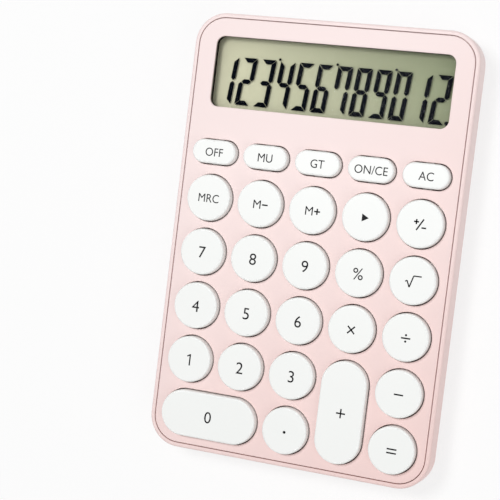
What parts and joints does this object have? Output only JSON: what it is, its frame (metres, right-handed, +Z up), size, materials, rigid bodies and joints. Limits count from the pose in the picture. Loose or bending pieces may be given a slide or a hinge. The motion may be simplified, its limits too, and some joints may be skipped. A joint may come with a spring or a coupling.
{
  "type": "desk calculator",
  "caption": "Slim desk calculator: round travelling keys in a panel set into a rimmed rear case, a recessed segment display, a dome mat and board, and a coin cell behind a hinged door",
  "frame": {"origin": "On the table under the middle of the case, at the bottom centre of the part's box", "axes": "+X to the user's right, +Y towards the display end, +Z up out of the keys"},
  "size_m": [0.102, 0.1536, 0.0168],
  "materials": {
    "case_plastic": "fine satin moulded, pale pink",
    "key_plastic": "satin moulded, white",
    "lens_acrylic": "clear polished acrylic",
    "gasket_foam": "matt black foam",
    "polariser_film": "satin film",
    "display_glass": "clear",
    "reflector_film": "pearl grey-green",
    "connector_rubber": "striped silicone",
    "board_laminate": "solder mask green",
    "silicone": "translucent grey silicone",
    "carbon_rubber": "matt carbon",
    "chip_epoxy": "cured epoxy",
    "capacitor_ceramic": "ceramic",
    "resistor_ceramic": "ceramic",
    "screw_steel": "zinc plated",
    "cell_steel": "nickel plated",
    "contact_nickel": "nickel plated spring strip",
    "lead_red": "insulation",
    "lead_black": "insulation",
    "foot_rubber": "matt grey rubber"
  },
  "bodies": {
    "housing": {"front_panel": "case_plastic", "rear_case": "case_plastic", "display_lens": "lens_acrylic", "display_gasket": "gasket_foam", "lcd_polariser": "polariser_film", "lcd_front_glass": "display_glass", "lcd_rear_glass": "display_glass", "lcd_reflector": "reflector_film", "lcd_connector": "connector_rubber", "circuit_board": "board_laminate", "keypad_mat": "silicone", "carbon_pills": "carbon_rubber", "chip_blob": "chip_epoxy", "board_capacitors": "capacitor_ceramic", "board_resistors": "resistor_ceramic", "case_screws": "screw_steel", "board_screws": "screw_steel", "coin_cell": "cell_steel", "battery_contact_positive": "contact_nickel", "battery_contact_negative": "contact_nickel", "battery_lead_positive": "lead_red", "battery_lead_negative": "lead_black", "rubber_feet": "foot_rubber"},
    "battery_door": {"battery_door": "case_plastic"},
    "key_off": {"key_off": "key_plastic"},
    "key_mu": {"key_mu": "key_plastic"},
    "key_gt": {"key_gt": "key_plastic"},
    "key_on": {"key_on": "key_plastic"},
    "key_ac": {"key_ac": "key_plastic"},
    "key_mrc": {"key_mrc": "key_plastic"},
    "key_m_minus": {"key_m_minus": "key_plastic"},
    "key_m_plus": {"key_m_plus": "key_plastic"},
    "key_backspace": {"key_backspace": "key_plastic"},
    "key_sign": {"key_sign": "key_plastic"},
    "key_7": {"key_7": "key_plastic"},
    "key_8": {"key_8": "key_plastic"},
    "key_9": {"key_9": "key_plastic"},
    "key_percent": {"key_percent": "key_plastic"},
    "key_root": {"key_root": "key_plastic"},
    "key_4": {"key_4": "key_plastic"},
    "key_5": {"key_5": "key_plastic"},
    "key_6": {"key_6": "key_plastic"},
    "key_multiply": {"key_multiply": "key_plastic"},
    "key_divide": {"key_divide": "key_plastic"},
    "key_1": {"key_1": "key_plastic"},
    "key_2": {"key_2": "key_plastic"},
    "key_3": {"key_3": "key_plastic"},
    "key_minus": {"key_minus": "key_plastic"},
    "key_point": {"key_point": "key_plastic"},
    "key_equals": {"key_equals": "key_plastic"},
    "key_0": {"key_0": "key_plastic"},
    "key_plus": {"key_plus": "key_plastic"}
  },
  "joints": [
    {"name": "key_off_press", "type": "slide", "parent": "housing", "child": "key_off", "axis": [0, 0, -1], "range_m": [0, 0.0018], "stiffness_N_per_m": 250, "springref_m": -0.0008, "deforming": ["keypad_mat", "carbon_pills"]},
    {"name": "key_mu_press", "type": "slide", "parent": "housing", "child": "key_mu", "axis": [0, 0, -1], "range_m": [0, 0.0018], "stiffness_N_per_m": 250, "springref_m": -0.0008, "deforming": ["keypad_mat", "carbon_pills"]},
    {"name": "key_gt_press", "type": "slide", "parent": "housing", "child": "key_gt", "axis": [0, 0, -1], "range_m": [0, 0.0018], "stiffness_N_per_m": 250, "springref_m": -0.0008, "deforming": ["keypad_mat", "carbon_pills"]},
    {"name": "key_on_press", "type": "slide", "parent": "housing", "child": "key_on", "axis": [0, 0, -1], "range_m": [0, 0.0018], "stiffness_N_per_m": 250, "springref_m": -0.0008, "deforming": ["keypad_mat", "carbon_pills"]},
    {"name": "key_ac_press", "type": "slide", "parent": "housing", "child": "key_ac", "axis": [0, 0, -1], "range_m": [0, 0.0018], "stiffness_N_per_m": 250, "springref_m": -0.0008, "deforming": ["keypad_mat", "carbon_pills"]},
    {"name": "key_mrc_press", "type": "slide", "parent": "housing", "child": "key_mrc", "axis": [0, 0, -1], "range_m": [0, 0.0018], "stiffness_N_per_m": 250, "springref_m": -0.0008, "deforming": ["keypad_mat", "carbon_pills"]},
    {"name": "key_m_minus_press", "type": "slide", "parent": "housing", "child": "key_m_minus", "axis": [0, 0, -1], "range_m": [0, 0.0018], "stiffness_N_per_m": 250, "springref_m": -0.0008, "deforming": ["keypad_mat", "carbon_pills"]},
    {"name": "key_m_plus_press", "type": "slide", "parent": "housing", "child": "key_m_plus", "axis": [0, 0, -1], "range_m": [0, 0.0018], "stiffness_N_per_m": 250, "springref_m": -0.0008, "deforming": ["keypad_mat", "carbon_pills"]},
    {"name": "key_backspace_press", "type": "slide", "parent": "housing", "child": "key_backspace", "axis": [0, 0, -1], "range_m": [0, 0.0018], "stiffness_N_per_m": 250, "springref_m": -0.0008, "deforming": ["keypad_mat", "carbon_pills"]},
    {"name": "key_sign_press", "type": "slide", "parent": "housing", "child": "key_sign", "axis": [0, 0, -1], "range_m": [0, 0.0018], "stiffness_N_per_m": 250, "springref_m": -0.0008, "deforming": ["keypad_mat", "carbon_pills"]},
    {"name": "key_7_press", "type": "slide", "parent": "housing", "child": "key_7", "axis": [0, 0, -1], "range_m": [0, 0.0018], "stiffness_N_per_m": 250, "springref_m": -0.0008, "deforming": ["keypad_mat", "carbon_pills"]},
    {"name": "key_8_press", "type": "slide", "parent": "housing", "child": "key_8", "axis": [0, 0, -1], "range_m": [0, 0.0018], "stiffness_N_per_m": 250, "springref_m": -0.0008, "deforming": ["keypad_mat", "carbon_pills"]},
    {"name": "key_9_press", "type": "slide", "parent": "housing", "child": "key_9", "axis": [0, 0, -1], "range_m": [0, 0.0018], "stiffness_N_per_m": 250, "springref_m": -0.0008, "deforming": ["keypad_mat", "carbon_pills"]},
    {"name": "key_percent_press", "type": "slide", "parent": "housing", "child": "key_percent", "axis": [0, 0, -1], "range_m": [0, 0.0018], "stiffness_N_per_m": 250, "springref_m": -0.0008, "deforming": ["keypad_mat", "carbon_pills"]},
    {"name": "key_root_press", "type": "slide", "parent": "housing", "child": "key_root", "axis": [0, 0, -1], "range_m": [0, 0.0018], "stiffness_N_per_m": 250, "springref_m": -0.0008, "deforming": ["keypad_mat", "carbon_pills"]},
    {"name": "key_4_press", "type": "slide", "parent": "housing", "child": "key_4", "axis": [0, 0, -1], "range_m": [0, 0.0018], "stiffness_N_per_m": 250, "springref_m": -0.0008, "deforming": ["keypad_mat", "carbon_pills"]},
    {"name": "key_5_press", "type": "slide", "parent": "housing", "child": "key_5", "axis": [0, 0, -1], "range_m": [0, 0.0018], "stiffness_N_per_m": 250, "springref_m": -0.0008, "deforming": ["keypad_mat", "carbon_pills"]},
    {"name": "key_6_press", "type": "slide", "parent": "housing", "child": "key_6", "axis": [0, 0, -1], "range_m": [0, 0.0018], "stiffness_N_per_m": 250, "springref_m": -0.0008, "deforming": ["keypad_mat", "carbon_pills"]},
    {"name": "key_multiply_press", "type": "slide", "parent": "housing", "child": "key_multiply", "axis": [0, 0, -1], "range_m": [0, 0.0018], "stiffness_N_per_m": 250, "springref_m": -0.0008, "deforming": ["keypad_mat", "carbon_pills"]},
    {"name": "key_divide_press", "type": "slide", "parent": "housing", "child": "key_divide", "axis": [0, 0, -1], "range_m": [0, 0.0018], "stiffness_N_per_m": 250, "springref_m": -0.0008, "deforming": ["keypad_mat", "carbon_pills"]},
    {"name": "key_1_press", "type": "slide", "parent": "housing", "child": "key_1", "axis": [0, 0, -1], "range_m": [0, 0.0018], "stiffness_N_per_m": 250, "springref_m": -0.0008, "deforming": ["keypad_mat", "carbon_pills"]},
    {"name": "key_2_press", "type": "slide", "parent": "housing", "child": "key_2", "axis": [0, 0, -1], "range_m": [0, 0.0018], "stiffness_N_per_m": 250, "springref_m": -0.0008, "deforming": ["keypad_mat", "carbon_pills"]},
    {"name": "key_3_press", "type": "slide", "parent": "housing", "child": "key_3", "axis": [0, 0, -1], "range_m": [0, 0.0018], "stiffness_N_per_m": 250, "springref_m": -0.0008, "deforming": ["keypad_mat", "carbon_pills"]},
    {"name": "key_minus_press", "type": "slide", "parent": "housing", "child": "key_minus", "axis": [0, 0, -1], "range_m": [0, 0.0018], "stiffness_N_per_m": 250, "springref_m": -0.0008, "deforming": ["keypad_mat", "carbon_pills"]},
    {"name": "key_point_press", "type": "slide", "parent": "housing", "child": "key_point", "axis": [0, 0, -1], "range_m": [0, 0.0018], "stiffness_N_per_m": 250, "springref_m": -0.0008, "deforming": ["keypad_mat", "carbon_pills"]},
    {"name": "key_equals_press", "type": "slide", "parent": "housing", "child": "key_equals", "axis": [0, 0, -1], "range_m": [0, 0.0018], "stiffness_N_per_m": 250, "springref_m": -0.0008, "deforming": ["keypad_mat", "carbon_pills"]},
    {"name": "key_0_press", "type": "slide", "parent": "housing", "child": "key_0", "axis": [0, 0, -1], "range_m": [0, 0.0018], "stiffness_N_per_m": 250, "springref_m": -0.0008, "deforming": ["keypad_mat", "carbon_pills"]},
    {"name": "key_plus_press", "type": "slide", "parent": "housing", "child": "key_plus", "axis": [0, 0, -1], "range_m": [0, 0.0018], "stiffness_N_per_m": 250, "springref_m": -0.0008, "deforming": ["keypad_mat", "carbon_pills"]},
    {"name": "battery_door_swing", "type": "hinge", "parent": "housing", "child": "battery_door", "pos_m": [0, 0.04675, 0.00155], "axis": [-1, 0, 0], "range_deg": [0, 75]}
  ]
}
